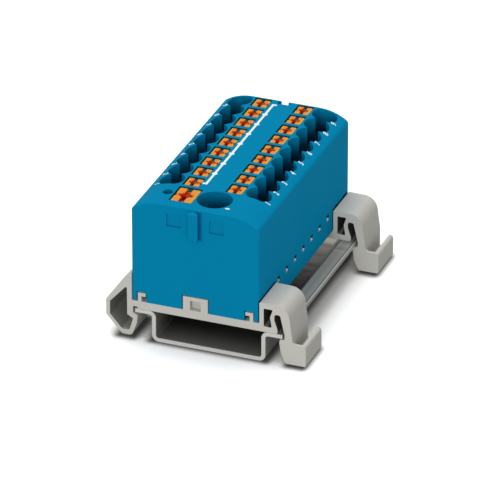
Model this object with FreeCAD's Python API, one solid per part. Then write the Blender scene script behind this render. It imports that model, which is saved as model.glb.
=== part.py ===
import FreeCAD, Part
import math
import os

from FreeCAD import Vector

# Push-in power distribution block on a 35 mm mounting rail, in millimetres.
# Origin: centre of the rail's underside. X across the rail, Y along it (front face at -Y), Z up.

# Mounting rail, standard 35 x 7.5 top-hat section
RAIL_W = 35.0
RAIL_H = 7.5
RAIL_T = 1.0
RAIL_HAT_W = 27.0
RAIL_BEND_R = 1.1
RAIL_REAR_RUN = 3.0

# Insulating housing
HOUSING_OVERHANG = 0.65
ARCH_ROOM = 5.55
HOUSING_H = 25.45
CROWN_FLAT_W = 16.2
CROWN_DROP = 2.3
SHOULDER_R = 1.2
SIDE_WALL = 2.15
END_EDGE = 0.25

# Row of clamping cells on each side of the mid-plane
CELL_COUNT = 9
PITCH = 5.2
FIRST_CELL_Y = 12.4
REAR_MARGIN = 2.8
CELL_WALL = 0.8
CEILING_H = 15.0
END_WALL = 0.8

# Wire funnels and the narrower wire channels below them
FUNNEL_RIM = 1.85
FUNNEL_R = 2.9
FUNNEL_DEPTH = 6.0
FUNNEL_FLAT = 2.5
WIRE_R = 1.8

# Release buttons
BUTTON_BAR = 0.55
BUTTON_W = 3.5
BUTTON_D = 3.8
BUTTON_SINK = 0.1
BUTTON_GAP = 0.15
BUTTON_EDGE = 0.25
BUTTON_TRAVEL = 1.3
STOP_GAP = 0.3
COLLAR_LIP = 0.4
COLLAR_H = 1.2
COLLAR_GAP = 0.1
COLLAR_ROOM = 0.35
NOSE_W = 1.6
NOSE_OFFSET = 0.7
RECESS_LONG_W = 0.9
RECESS_CROSS_L = 2.3
RECESS_CROSS_W = 0.8
RECESS_DEPTH = 0.9
WELL_SIZE = 1.35
WELL_DEPTH = 1.7
EDGE_NOTCH_W = 0.9
EDGE_NOTCH_D = 0.4

# Feed cell at the front, for the larger conductor
FEED_PITCH = 6.55
FEED_BUTTON_W = 5.0
FEED_BUTTON_D = 6.6
FEED_RECESS_SCALE = 1.45
FEED_FUNNEL_U = 2.45
FEED_FUNNEL_R = 4.0
FEED_FUNNEL_DEPTH = 6.5
FEED_BAR = 0.4
FEED_WIRE_R = 3.0
FEED_ROOM_IN = 0.55
FEED_ROOM_OUT = 1.05
FEED_ROOM_FRONT = 0.05
TEST_HOLE_STEP = 0.8
TEST_HOLE_R = 1.15

# Base plate, current bar and clamping springs
PLATE_T = 3.8
PLATE_GAP = 0.15
PLATE_RECESS = 2.2
PLATE_RIM = 1.4
PLATE_RIB = 1.2
BAR_T = 0.9
BAR_GAP = 0.15
TONGUE_H = 7.2
TONGUE_W = 3.4
SPRING_T = 0.35
SPRING_W = 3.2
SPRING_LEG = 0.6
SPRING_BEND_R = 1.1
SPRING_FOOT_L = 1.6
SPRING_PEAK = 8.7
SPRING_TIP = 2.0
SPRING_TIP_GAP = 0.15
SPRING_LOAD_GAP = 0.1
FEED_SPRING_T = 0.5
FEED_SPRING_W = 5.0

# Openings through the long sides, in line with the cells
SLIT_W = 1.7
SLIT_H = 1.7

# Coupling rib on the front, matching groove at the rear, shallow squares on the front
RIB_W = 2.4
RIB_NECK_W = 1.5
RIB_NECK_T = 0.6
RIB_HEAD_T = 0.75
RIB_EDGE_R = 0.45
RIB_U = -0.2
RIB_BOTTOM = 17.95
RIB_TOP = 24.8
GROOVE_GAP = 0.2
GROOVE_BOTTOM = 16.2
SQUARE_W = 3.4
SQUARE_H = 3.05
SQUARE_U = 5.05
SQUARE_TOP = 23.2
SQUARE_DEPTH = 0.35

# Rail feet: overall sizes, then the loop and hook at one flange, the arch and latch at the other
FOOT_BAR_T = 1.9
FOOT_D = 10.0
FOOT_LIFT = 0.5
SIDE_GAP = 0.1
TIP_GAP = 0.5
UNDER_GAP = 0.2
SMALL_R = 0.15
CORNER_R = 0.25
BEND_R = 0.5
LOOP_R = 1.1
LOOP_REACH = 6.95
LOOP_TOP = 16.5
LOOP_WALL = 0.95
LOOP_POST = 1.15
LOOP_KNEE_H = 8.6
LOOP_ELBOW_H = 4.75
LOOP_HEEL_OUT = 3.15
LOOP_HEEL_IN = 0.8
LOOP_WINDOW_TOP = 12.75
LOOP_WINDOW_KNEE = 0.45
LOOP_WINDOW_LOW = 1.75
LOOP_WINDOW_ELBOW = 5.0
LOOP_WINDOW_STEP = 5.6
LOOP_WINDOW_GRIP = 4.8
LOOP_WINDOW_HEEL = 0.6
HOOK_GRIP = 0.6
HOOK_H_GAP = 0.45
HOOK_LIP_H = 5.7
HOOK_SHIN_H = 3.8
HOOK_SHIN_IN = 0.4
ARCH_TOP = 14.65
ARCH_BROW_OUT = 1.3
ARCH_BROW_DROP = 0.15
ARCH_BROW_R = 3.3
ARCH_SLOT_TOP = 2.4
ARCH_SLOT_LOW = 3.75
ARCH_SLOT_IN = 0.6
ARCH_SLOT_OUT = 1.9
ARCH_NOSE_IN = 1.15
ARCH_NOSE_H = 1.1
ARCH_NOSE_R = 0.5
WINDOW_LIFT = 1.4
WINDOW_WIDE = 0.65
WINDOW_WAIST = 3.25
WINDOW_WAIST_IN = 0.4
FOOT_WALL = 1.05
ROOF_T = 1.35
LATCH_REACH = 5.5
LATCH_TOP = 2.0
LATCH_SHELF = 2.45
LATCH_SHELF_R = 0.8
LATCH_CORNER_R = 0.8
LATCH_TOE_OUT = 0.7
LATCH_TOE_H = 3.0
LATCH_TOE_IN = 0.4
LATCH_GRIP = 0.75
LATCH_GRIP_DROP = 1.0
PRY_SLOT_FLOOR = 2.4
PRY_SLOT_IN = 1.8
PRY_SLOT_OUT = 1.0
WEB_T = 0.8
TAB_W = 5.9
TAB_H = 3.4
TAB_D = 2.4
TAB_HOLE_W = 2.5
TAB_HOLE_H = 2.4
TAB_HOLE_DEPTH = 1.4
TAB_HOLE_LIFT = 0.1
ROOT = 0.5
HOOK_MARGIN = 1.35
HOOK_T = 0.85
HOOK_H = 2.2
HOOK_ARM = 1.0
POCKET_GAP = 0.25
POCKET_END_GAP = 0.2
SKIRT_LIFT = 0.35
LEDGE_SETBACK = 2.0

# Overrun of a cutting shape past the face it opens
CUT = 1.0

# Levels and places worked out from the sizes above
FLANGE_TOP = RAIL_H
FLANGE_BOTTOM = RAIL_H - RAIL_T
BASE_Z = FLANGE_TOP + FOOT_BAR_T
TOP_Z = BASE_Z + HOUSING_H
PLATE_TOP = BASE_Z + PLATE_T
BAR_TOP = PLATE_TOP + BAR_T
CEILING_Z = BASE_Z + CEILING_H
HOUSING_W = RAIL_W + HOUSING_OVERHANG - ARCH_ROOM
HOUSING_L = FIRST_CELL_Y + (CELL_COUNT - 1) * PITCH + REAR_MARGIN
HALF_W = HOUSING_W / 2
HOUSING_X = HALF_W - RAIL_W / 2 - HOUSING_OVERHANG
CHAMBER_OUT = HALF_W - SIDE_WALL
FUNNEL_U = HALF_W - FUNNEL_RIM - FUNNEL_R
BUTTON_U = FUNNEL_U - FUNNEL_R - BUTTON_BAR - BUTTON_W / 2
CHAMBER_IN = BUTTON_U - BUTTON_W / 2 - COLLAR_LIP - COLLAR_ROOM
HOOK_U = HALF_W - HOOK_MARGIN
CELL_HALF = (PITCH - CELL_WALL) / 2
FRONT_Y = -HOUSING_L / 2
REAR_Y = HOUSING_L / 2
CAVITY_REAR = REAR_Y - END_WALL
CELL_YS = [FRONT_Y + FIRST_CELL_Y + index * PITCH for index in range(CELL_COUNT)]
FEED_CENTRE_Y = CELL_YS[0] - FEED_PITCH
FEED_BUTTON_U = FEED_FUNNEL_U - FEED_FUNNEL_R - FEED_BAR - FEED_BUTTON_W / 2
FEED_CHAMBER_IN = FEED_BUTTON_U - FEED_BUTTON_W / 2 - COLLAR_LIP - FEED_ROOM_IN
FEED_CHAMBER_OUT = FEED_FUNNEL_U + FEED_WIRE_R + FEED_ROOM_OUT
FEED_CHAMBER_FRONT = FEED_CENTRE_Y - FEED_SPRING_W / 2 - FEED_ROOM_FRONT
TEST_HOLE_U = FEED_CHAMBER_IN - TEST_HOLE_STEP
TONGUE_OUT = CHAMBER_OUT - 2 * BAR_GAP
RIGHT, LEFT = 1, -1


def block(x_low, x_high, y_low, y_high, z_low, z_high):
    """Box between two corners."""
    return Part.makeBox(x_high - x_low, y_high - y_low, z_high - z_low, Vector(x_low, y_low, z_low))


def side_block(side, u_low, u_high, y_low, y_high, z_low, z_high):
    """Box given by its distances from the housing's mid-plane, on one side of it."""
    ends = sorted((HOUSING_X + side * u_low, HOUSING_X + side * u_high))
    return block(ends[0], ends[1], y_low, y_high, z_low, z_high)


def on_side(side, points):
    """Turn (distance from the mid-plane, z, radius) points into (x, z, radius) points."""
    return [(HOUSING_X + side * u, z, radius) for u, z, radius in points]


def corner_trim(before, corner, after, radius):
    """Tangent points and middle of the arc that rounds one corner of an outline."""
    to_before = (before - corner).normalize()
    to_after = (after - corner).normalize()
    half_angle = to_before.getAngle(to_after) / 2
    reach = radius / math.tan(half_angle)
    bisector = (to_before + to_after).normalize()
    middle = corner + bisector * (radius / math.sin(half_angle) - radius)
    return corner + to_before * reach, middle, corner + to_after * reach


def outline(points):
    """Closed wire in the XZ plane; each point is (x, z, corner radius)."""
    places = [Vector(x, 0, z) for x, z, radius in points]
    edges = []
    starts = []
    ends = []
    for index, (x, z, radius) in enumerate(points):
        here = places[index]
        if radius > 0:
            after = places[(index + 1) % len(places)]
            first, middle, last = corner_trim(places[index - 1], here, after, radius)
            starts.append(first)
            ends.append((middle, last))
        else:
            starts.append(here)
            ends.append((None, here))
    for index, (middle, last) in enumerate(ends):
        if middle is not None:
            edges.append(Part.Arc(starts[index], middle, last).toShape())
        following = starts[(index + 1) % len(starts)]
        if last.distanceToPoint(following) > 1e-6:
            edges.append(Part.LineSegment(last, following).toShape())
    return Part.Wire(edges)


def extrusion(points, y_low, y_high):
    """Solid with a rounded outline in the XZ plane, from one Y to another."""
    face = Part.Face(outline(points))
    face.translate(Vector(0, y_low, 0))
    return face.extrude(Vector(0, y_high - y_low, 0))


def strip(path, thickness):
    """Outline of a band of even thickness along an open path of (x, z, bend radius) points."""
    half = thickness / 2
    spots = [Vector(x, 0, z) for x, z, radius in path]
    headings = [(b - a).normalize() for a, b in zip(spots, spots[1:])]
    left = []
    right = []
    for index, (x, z, radius) in enumerate(path):
        before = headings[max(index - 1, 0)]
        after = headings[min(index, len(headings) - 1)]
        normal_before = Vector(-before.z, 0, before.x)
        normal_after = Vector(-after.z, 0, after.x)
        miter = (normal_before + normal_after) * (half / (1 + normal_before.dot(normal_after)))
        turn = before.x * after.z - before.z * after.x
        lean = 0 if radius == 0 else math.copysign(half, turn)
        left.append((x + miter.x, z + miter.z, radius - lean))
        right.append((x - miter.x, z - miter.z, radius + lean))
    return left + right[::-1]


def upright(x, y, radius, z_low, z_high):
    """Round post or hole filler along Z."""
    return Part.makeCylinder(radius, z_high - z_low, Vector(x, y, z_low))


def housing_shell():
    """Outer form of the housing: flat crown between two long arcs, soft shoulders, broken end edges."""
    run = (HOUSING_W - CROWN_FLAT_W) / 2
    radius = (run ** 2 + CROWN_DROP ** 2) / (2 * CROWN_DROP)
    sweep = math.asin(run / radius) / 2
    flat = CROWN_FLAT_W / 2
    shoulder_z = TOP_Z - CROWN_DROP
    bulge_u = flat + radius * math.sin(sweep)
    bulge_z = TOP_Z - radius * (1 - math.cos(sweep))

    def at(u, z):
        return Vector(HOUSING_X + u, FRONT_Y, z)

    edges = [
        Part.LineSegment(at(-HALF_W, BASE_Z), at(-HALF_W, shoulder_z)).toShape(),
        Part.Arc(at(-HALF_W, shoulder_z), at(-bulge_u, bulge_z), at(-flat, TOP_Z)).toShape(),
        Part.LineSegment(at(-flat, TOP_Z), at(flat, TOP_Z)).toShape(),
        Part.Arc(at(flat, TOP_Z), at(bulge_u, bulge_z), at(HALF_W, shoulder_z)).toShape(),
        Part.LineSegment(at(HALF_W, shoulder_z), at(HALF_W, BASE_Z)).toShape(),
        Part.LineSegment(at(HALF_W, BASE_Z), at(-HALF_W, BASE_Z)).toShape(),
    ]
    solid = Part.Face(Part.Wire(edges)).extrude(Vector(0, HOUSING_L, 0))
    shoulders = [edge for edge in solid.Edges
                 if edge.BoundBox.YLength > HOUSING_L / 2 and abs(edge.BoundBox.ZMin - shoulder_z) < 0.01]
    solid = solid.makeFillet(SHOULDER_R, shoulders)
    ends = [edge for edge in solid.Edges
            if edge.BoundBox.YLength < 0.01 and edge.BoundBox.ZMax > BASE_Z + 0.01]
    return solid.makeChamfer(END_EDGE, ends)


def wire_entries(side):
    """Wire entries of one row: round funnels that run into each other, with a wire channel below each."""
    x = HOUSING_X + side * FUNNEL_U
    floor_z = TOP_Z - FUNNEL_DEPTH
    parts = []
    for y in CELL_YS:
        parts.append(upright(x, y, FUNNEL_R, floor_z, TOP_Z + CUT))
    front = CELL_YS[0] - FUNNEL_FLAT
    rear = min(CELL_YS[-1] + FUNNEL_FLAT, CAVITY_REAR)
    trough = parts[0].fuse(parts[1:]).common(side_block(side, 0, HALF_W, front, rear, 0, TOP_Z + 2 * CUT))
    return [trough] + [upright(x, y, WIRE_R, CEILING_Z, floor_z) for y in CELL_YS]


def cell_spaces(side):
    """Button slots, spring chambers and side slits of one row."""
    spaces = []
    slot_w = BUTTON_W / 2 + BUTTON_GAP
    slot_d = BUTTON_D / 2 + BUTTON_GAP
    for y in CELL_YS:
        chamber_rear = min(y + CELL_HALF, CAVITY_REAR)
        spaces.append(side_block(side, BUTTON_U - slot_w, BUTTON_U + slot_w,
                                 y - slot_d, min(y + slot_d, CAVITY_REAR), CEILING_Z - CUT, TOP_Z + CUT))
        spaces.append(side_block(side, CHAMBER_IN, CHAMBER_OUT,
                                 y - CELL_HALF, chamber_rear, PLATE_TOP, CEILING_Z))
        spaces.append(side_block(side, CHAMBER_OUT - CUT, HALF_W + CUT, y - SLIT_W / 2, y + SLIT_W / 2,
                                 PLATE_TOP + BAR_GAP, PLATE_TOP + BAR_GAP + SLIT_H))
    return spaces


def feed_spaces():
    """Feed funnel, feed button slot, feed chamber and test hole."""
    x = HOUSING_X + FEED_FUNNEL_U
    floor_z = TOP_Z - FEED_FUNNEL_DEPTH
    slot_w = FEED_BUTTON_W / 2 + BUTTON_GAP
    slot_d = FEED_BUTTON_D / 2 + BUTTON_GAP
    chamber_rear = CELL_YS[0] - CELL_HALF - CELL_WALL
    return [
        upright(x, FEED_CENTRE_Y, FEED_FUNNEL_R, floor_z, TOP_Z + CUT),
        upright(x, FEED_CENTRE_Y, FEED_WIRE_R, CEILING_Z, floor_z),
        side_block(RIGHT, FEED_BUTTON_U - slot_w, FEED_BUTTON_U + slot_w,
                   FEED_CENTRE_Y - slot_d, FEED_CENTRE_Y + slot_d, CEILING_Z, TOP_Z + CUT),
        side_block(RIGHT, FEED_CHAMBER_IN, FEED_CHAMBER_OUT,
                   FEED_CHAMBER_FRONT, chamber_rear, PLATE_TOP, CEILING_Z),
        upright(HOUSING_X + TEST_HOLE_U, FEED_CENTRE_Y, TEST_HOLE_R, PLATE_TOP, TOP_Z + CUT),
    ]


def hook_pockets():
    """Spaces in the housing's ends for the hooks and tabs of the two rail feet."""
    gap = POCKET_GAP
    depth = FOOT_D + POCKET_END_GAP
    stem_in = HOOK_U - HOOK_T
    arm_in = stem_in - HOOK_ARM
    hook_top = BASE_Z + HOOK_H
    arm_bottom = hook_top - HOOK_T
    spaces = []
    for outer_y, inward in ((FRONT_Y, 1), (REAR_Y, -1)):
        full = sorted((outer_y, outer_y + inward * depth))
        mouth = sorted((outer_y, outer_y + inward * LEDGE_SETBACK))
        for side in (LEFT, RIGHT):
            spaces.append(side_block(side, stem_in - gap, HOOK_U + gap, full[0], full[1],
                                     BASE_Z - CUT, hook_top + gap))
            spaces.append(side_block(side, arm_in - gap, stem_in, full[0], full[1],
                                     arm_bottom - gap, hook_top + gap))
            spaces.append(side_block(side, arm_in - gap, stem_in, mouth[0], mouth[1],
                                     BASE_Z - CUT, arm_bottom))
            spaces.append(side_block(side, HOOK_U, HALF_W + CUT, full[0], full[1],
                                     BASE_Z - CUT, BASE_Z + SKIRT_LIFT))
    for foot_y in (FRONT_Y, REAR_Y - FOOT_D):
        spaces.append(side_block(RIGHT, -TAB_W / 2 - gap, TAB_W / 2 + gap, foot_y - gap,
                                 foot_y + TAB_D + gap, BASE_Z - CUT, BASE_Z + TAB_H + gap))
    return spaces


def coupling_rib():
    """T-shaped rib on the front face that slides into the groove of a neighbouring block."""
    neck_half = RIB_NECK_W / 2
    head_half = RIB_W / 2
    neck_y = FRONT_Y - RIB_NECK_T
    front_y = neck_y - RIB_HEAD_T
    neck = side_block(RIGHT, RIB_U - neck_half, RIB_U + neck_half, neck_y, FRONT_Y + ROOT,
                      BASE_Z + RIB_BOTTOM, BASE_Z + RIB_TOP)
    head = side_block(RIGHT, RIB_U - head_half, RIB_U + head_half, front_y, neck_y,
                      BASE_Z + RIB_BOTTOM, BASE_Z + RIB_TOP)
    rounded = [edge for edge in head.Edges if edge.BoundBox.YMax < front_y + 0.01]
    head = head.makeFillet(RIB_EDGE_R, rounded)
    return neck.fuse(head)


def coupling_groove():
    """Groove in the rear face for a neighbour's rib, open at the top."""
    neck_deep = RIB_NECK_T + GROOVE_GAP
    head_deep = neck_deep + RIB_HEAD_T + GROOVE_GAP
    z_low = BASE_Z + GROOVE_BOTTOM
    neck_half = RIB_NECK_W / 2 + GROOVE_GAP
    head_half = RIB_W / 2 + GROOVE_GAP
    return [
        side_block(RIGHT, RIB_U - neck_half, RIB_U + neck_half, REAR_Y - neck_deep, REAR_Y + CUT,
                   z_low, TOP_Z + CUT),
        side_block(RIGHT, RIB_U - head_half, RIB_U + head_half, REAR_Y - head_deep,
                   REAR_Y - neck_deep + 0.01, z_low, TOP_Z + CUT),
    ]


def front_squares():
    """Two shallow square recesses beside the rib."""
    half = SQUARE_W / 2
    top = BASE_Z + SQUARE_TOP
    return [side_block(side, SQUARE_U - half, SQUARE_U + half, FRONT_Y - CUT, FRONT_Y + SQUARE_DEPTH,
                       top - SQUARE_H, top) for side in (LEFT, RIGHT)]


def make_housing():
    """Moulded housing with its funnels, slots, chambers, pockets, rib and groove."""
    plate_space = side_block(RIGHT, -CHAMBER_OUT, CHAMBER_OUT, FEED_CHAMBER_FRONT, CAVITY_REAR,
                             BASE_Z - CUT, BAR_TOP + BAR_GAP)
    spaces = [plate_space]
    spaces += wire_entries(LEFT)
    spaces += wire_entries(RIGHT)
    spaces += cell_spaces(LEFT)
    spaces += cell_spaces(RIGHT)
    spaces += feed_spaces()
    spaces += hook_pockets()
    spaces += coupling_groove()
    spaces += front_squares()
    return housing_shell().cut(spaces).fuse(coupling_rib()).removeSplitter()


def make_base_plate():
    """Plate that closes the chambers from below, with two ribs across its hollow."""
    half = CHAMBER_OUT - PLATE_GAP
    y_low = FEED_CHAMBER_FRONT + PLATE_GAP
    y_high = CAVITY_REAR - PLATE_GAP
    plate = side_block(RIGHT, -half, half, y_low, y_high, BASE_Z, PLATE_TOP)
    hollow_low = FRONT_Y + FOOT_D + POCKET_END_GAP + PLATE_RIM
    hollow_high = REAR_Y - FOOT_D - POCKET_END_GAP - PLATE_RIM
    bay = (hollow_high - hollow_low - 2 * PLATE_RIB) / 3
    spaces = hook_pockets()
    for index in range(3):
        start = hollow_low + index * (bay + PLATE_RIB)
        spaces.append(side_block(RIGHT, -half + PLATE_RIM, half - PLATE_RIM, start, start + bay,
                                 BASE_Z - CUT, BASE_Z + PLATE_RECESS))
    return plate.cut(spaces)


def make_busbar():
    """Current bar: one bent strip with a contact tongue for each cell and one for the feed."""
    middle_z = PLATE_TOP + BAR_T / 2
    tongue_u = TONGUE_OUT - BAR_T / 2
    tongue_top = BAR_TOP + TONGUE_H
    path = on_side(RIGHT, [(-tongue_u, tongue_top, 0), (-tongue_u, middle_z, 0),
                           (tongue_u, middle_z, 0), (tongue_u, tongue_top, 0)])
    first = CELL_YS[0] - TONGUE_W / 2
    last = CELL_YS[-1] + TONGUE_W / 2
    bar = extrusion(strip(path, BAR_T), first, last)
    bend_end = TONGUE_OUT - 2 * BAR_T
    gaps = []
    for y in CELL_YS[:-1]:
        for side in (LEFT, RIGHT):
            gaps.append(side_block(side, bend_end, CHAMBER_OUT, y + TONGUE_W / 2,
                                   y + PITCH - TONGUE_W / 2, PLATE_TOP - CUT, tongue_top + CUT))
    bar = bar.cut(gaps)
    feed_front = FEED_CENTRE_Y - FEED_SPRING_W / 2 + BAR_GAP
    feed_rear = feed_front + FEED_SPRING_W - 2 * BAR_GAP
    runner = side_block(RIGHT, FEED_CHAMBER_IN, FEED_CHAMBER_OUT - 2 * BAR_GAP,
                        feed_front, first + CUT, PLATE_TOP, BAR_TOP)
    tap = side_block(RIGHT, TEST_HOLE_U - 2 * TEST_HOLE_R, FEED_CHAMBER_IN + 0.01,
                     FEED_CENTRE_Y - 1.5 * TEST_HOLE_R, FEED_CENTRE_Y + 1.5 * TEST_HOLE_R, PLATE_TOP, BAR_TOP)
    feed_tongue = side_block(RIGHT, FEED_CHAMBER_OUT - 2 * BAR_GAP - BAR_T, FEED_CHAMBER_OUT - 2 * BAR_GAP,
                             feed_front, feed_rear, PLATE_TOP, tongue_top)
    return bar.fuse([runner, tap, feed_tongue]).removeSplitter()


def spring_path(leg_u, tip_u, thickness):
    """Centreline of a clamping spring: foot, upright leg, tight bend and sloping arm."""
    foot_z = BAR_TOP + thickness / 2
    return [(leg_u + SPRING_FOOT_L, foot_z, 0), (leg_u, foot_z, 0),
            (leg_u, BAR_TOP + SPRING_PEAK, SPRING_BEND_R), (tip_u, BAR_TOP + SPRING_TIP, 0)]


def arm_top(u, leg_u, tip_u, thickness):
    """Height of the arm's upper face at a distance from the mid-plane."""
    slope = (SPRING_PEAK - SPRING_TIP) / (tip_u - leg_u)
    half = thickness / 2 * math.hypot(1, slope)
    return BAR_TOP + SPRING_PEAK - slope * (u - leg_u) + half


def cell_spring_span():
    """Leg and tip places of a row spring."""
    leg = CHAMBER_IN + SPRING_LEG
    tip = TONGUE_OUT - BAR_T - SPRING_TIP_GAP
    return leg, tip


def feed_spring_span():
    """Leg and tip places of the feed spring."""
    leg = FEED_CHAMBER_IN + SPRING_LEG
    tip = FEED_CHAMBER_OUT - 2 * BAR_GAP - BAR_T - SPRING_TIP_GAP
    return leg, tip


def make_spring(side, span, thickness, width, y):
    """Bent leaf spring that presses the conductor against its contact tongue."""
    path = on_side(side, spring_path(span[0], span[1] - thickness / 2, thickness))
    return extrusion(strip(path, thickness), y - width / 2, y + width / 2)


def recess_tools(x, y, inner_side, width, depth, scale):
    """Screwdriver cross, its deeper well and the small notch in the inner edge of a button."""
    top = TOP_Z + CUT
    floor_z = TOP_Z - BUTTON_SINK - RECESS_DEPTH
    slot = RECESS_LONG_W * scale / 2
    cross_l = RECESS_CROSS_L * scale / 2
    cross_w = RECESS_CROSS_W * scale / 2
    well = WELL_SIZE * scale / 2
    edge = x + inner_side * width / 2
    notch_x = sorted((edge, edge - inner_side * EDGE_NOTCH_D))
    notch_half = EDGE_NOTCH_W * scale / 2
    return [
        block(x - slot, x + slot, y - depth, y + depth, floor_z, top),
        block(x - cross_l, x + cross_l, y - cross_w, y + cross_w, floor_z, top),
        block(x - well, x + well, y - well, y + well, TOP_Z - BUTTON_SINK - WELL_DEPTH, top),
        block(notch_x[0], notch_x[1], y - notch_half, y + notch_half, TOP_Z - BUTTON_SINK - WELL_DEPTH, top),
    ]


def make_button(side, u, width, depth, y, stem_depth, span, thickness, scale):
    """Release button: flush head, retaining collar under the ceiling and a nose over the spring arm."""
    top = TOP_Z - BUTTON_SINK
    half = width / 2
    collar_top = CEILING_Z - COLLAR_GAP
    collar_bottom = collar_top - COLLAR_H
    nose_in = u + NOSE_OFFSET * scale - NOSE_W / 2
    nose_out = u + NOSE_OFFSET * scale + NOSE_W / 2
    inner_z = arm_top(nose_in, span[0], span[1], thickness) + SPRING_LOAD_GAP
    outer_z = arm_top(nose_out, span[0], span[1], thickness) + SPRING_LOAD_GAP
    head_bottom = CEILING_Z + BUTTON_TRAVEL + STOP_GAP
    head = side_block(side, u - half, u + half, y - depth / 2, y + depth / 2, head_bottom, top)
    rim = [edge for edge in head.Edges if edge.BoundBox.ZMin > top - 0.01]
    head = head.makeChamfer(BUTTON_EDGE, rim)
    stem = extrusion(on_side(side, [
        (u - half, head_bottom, 0), (u + half, head_bottom, 0),
        (u + half, collar_top, 0), (u + half + COLLAR_LIP, collar_top, 0),
        (u + half + COLLAR_LIP, collar_bottom, 0), (nose_out, collar_bottom, 0),
        (nose_out, outer_z, 0), (nose_in, inner_z, 0), (nose_in, collar_bottom, 0),
        (u - half - COLLAR_LIP, collar_bottom, 0), (u - half - COLLAR_LIP, collar_top, 0),
        (u - half, collar_top, 0)]), y - stem_depth / 2, y + stem_depth / 2)
    x = HOUSING_X + side * u
    return head.fuse(stem).cut(recess_tools(x, y, -side, width, depth, scale)).removeSplitter()


def foot_outline():
    """Silhouette of a rail foot: hook loop on the left, bar, sprung arch and latch on the right."""
    tip_l = -RAIL_W / 2
    tip_r = RAIL_W / 2
    wall_l = HOUSING_X - HALF_W - SIDE_GAP
    wall_r = HOUSING_X + HALF_W + SIDE_GAP
    loop_x = tip_l - LOOP_REACH
    leg_in = tip_r + TIP_GAP
    latch_x = tip_r + LATCH_REACH
    latch_z = RAIL_H - LATCH_TOP
    under = FLANGE_BOTTOM - UNDER_GAP
    lip_z = FLANGE_TOP + HOOK_H_GAP
    slot_top = ARCH_TOP - ARCH_SLOT_TOP
    slot_left = tip_r - ARCH_SLOT_OUT
    nose_x = tip_r - ARCH_NOSE_IN
    arch = [
        (wall_r, BASE_Z, 0), (wall_r, ARCH_TOP, CORNER_R),
        (tip_r + ARCH_BROW_OUT, ARCH_TOP - ARCH_BROW_DROP, ARCH_BROW_R),
    ]
    latch = [
        (tip_r + LATCH_SHELF, latch_z, LATCH_SHELF_R), (latch_x, latch_z, LATCH_CORNER_R),
        (latch_x, FOOT_LIFT, CORNER_R),
        (tip_r + LATCH_TOE_OUT, FOOT_LIFT, BEND_R), (tip_r - LATCH_TOE_IN, LATCH_TOE_H, LOOP_R),
        (tip_r - LATCH_GRIP, FLANGE_BOTTOM - LATCH_GRIP_DROP, SMALL_R),
        (tip_r - HOOK_GRIP, under, SMALL_R), (leg_in, under, SMALL_R),
    ]
    inner_slot = [
        (leg_in, FLANGE_TOP, BEND_R), (tip_r - ARCH_SLOT_IN, slot_top, BEND_R),
        (slot_left, slot_top, BEND_R), (slot_left, ARCH_TOP - ARCH_SLOT_LOW, BEND_R),
        (nose_x, FLANGE_TOP + ARCH_NOSE_H, ARCH_NOSE_R), (nose_x, FLANGE_TOP, ARCH_NOSE_R),
    ]
    hook = [
        (tip_l + HOOK_GRIP, FLANGE_TOP, 0), (tip_l + HOOK_GRIP, lip_z, SMALL_R),
        (tip_l - TIP_GAP, lip_z, SMALL_R), (tip_l - TIP_GAP, under, 0),
        (tip_l + HOOK_GRIP, HOOK_LIP_H, CORNER_R), (tip_l + HOOK_SHIN_IN, HOOK_SHIN_H, LOOP_R),
    ]
    loop = [
        (tip_l - LOOP_HEEL_IN, FOOT_LIFT, LOOP_R), (tip_l - LOOP_HEEL_OUT, FOOT_LIFT, LOOP_R),
        (loop_x, LOOP_ELBOW_H, LOOP_R), (loop_x, LOOP_KNEE_H, LOOP_R),
        (wall_l, LOOP_TOP, SMALL_R), (wall_l, BASE_Z, 0),
    ]
    return arch + latch + inner_slot + hook + loop


def loop_window():
    """Opening inside the left hook loop."""
    tip_l = -RAIL_W / 2
    wall = HOUSING_X - HALF_W - SIDE_GAP - LOOP_POST
    far = tip_l - LOOP_REACH + LOOP_WALL
    return [
        (wall, LOOP_WINDOW_TOP, CORNER_R), (wall, LOOP_WINDOW_STEP, CORNER_R),
        (tip_l - TIP_GAP, LOOP_WINDOW_GRIP, CORNER_R),
        (tip_l - LOOP_HEEL_IN - LOOP_WINDOW_HEEL, LOOP_WINDOW_LOW, BEND_R),
        (tip_l - LOOP_HEEL_OUT, LOOP_WINDOW_LOW, BEND_R),
        (far, LOOP_WINDOW_ELBOW, BEND_R), (far, LOOP_KNEE_H - LOOP_WINDOW_KNEE, BEND_R),
    ]


def arch_window():
    """Opening between the wall, the roof and the inner leg of the sprung arch."""
    wall = HOUSING_X + HALF_W + SIDE_GAP + FOOT_WALL
    leg = RAIL_W / 2 - ARCH_SLOT_OUT - FOOT_WALL
    low = FLANGE_TOP + WINDOW_LIFT
    roof = ARCH_TOP - ROOF_T
    return [
        (wall, low, SMALL_R), (leg + WINDOW_WAIST_IN, low, SMALL_R), (leg, ARCH_TOP - WINDOW_WAIST, BEND_R),
        (leg + WINDOW_WIDE, roof, CORNER_R), (wall, roof, SMALL_R),
    ]


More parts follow.
